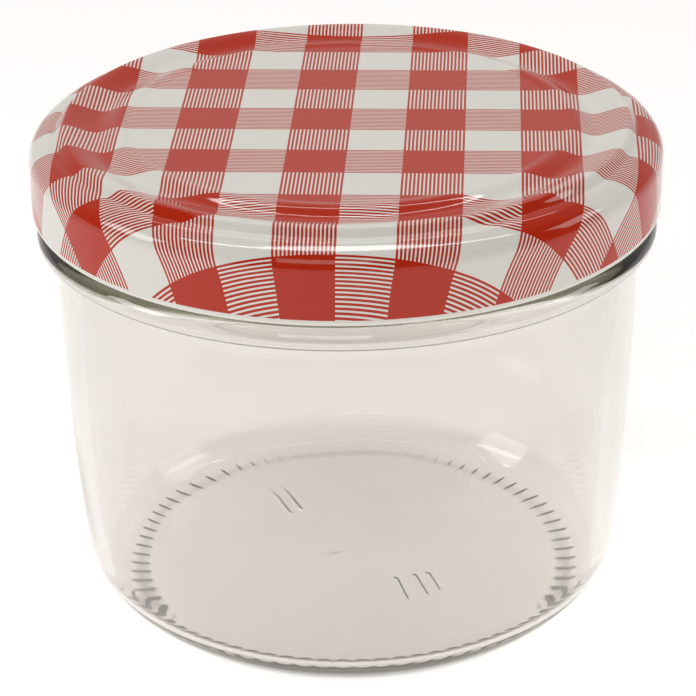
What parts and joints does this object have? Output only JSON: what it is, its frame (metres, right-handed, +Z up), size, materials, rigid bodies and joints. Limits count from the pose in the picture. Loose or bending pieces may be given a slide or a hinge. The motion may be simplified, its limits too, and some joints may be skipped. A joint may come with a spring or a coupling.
{
  "type": "glass storage jar",
  "caption": "Squat clear glass storage jar with straight sides, a rounded heel and a closed twist-off metal lid printed in red and white gingham.",
  "frame": {"origin": "centre of the jar's standing ring, on the surface that it stands on", "axes": "+Z up along the jar's axis, towards the lid; +X and +Y across it, with a lug of the lid on +X"},
  "size_m": [0.0848, 0.0848, 0.068],
  "materials": {
    "clear_glass": "clear, polished, smooth moulded glass",
    "printed_tinplate": "glossy lacquered tinplate with a red and white gingham print"
  },
  "bodies": {
    "root": {"glass_jar": "clear_glass", "twist_lid": "printed_tinplate"}
  },
  "joints": []
}
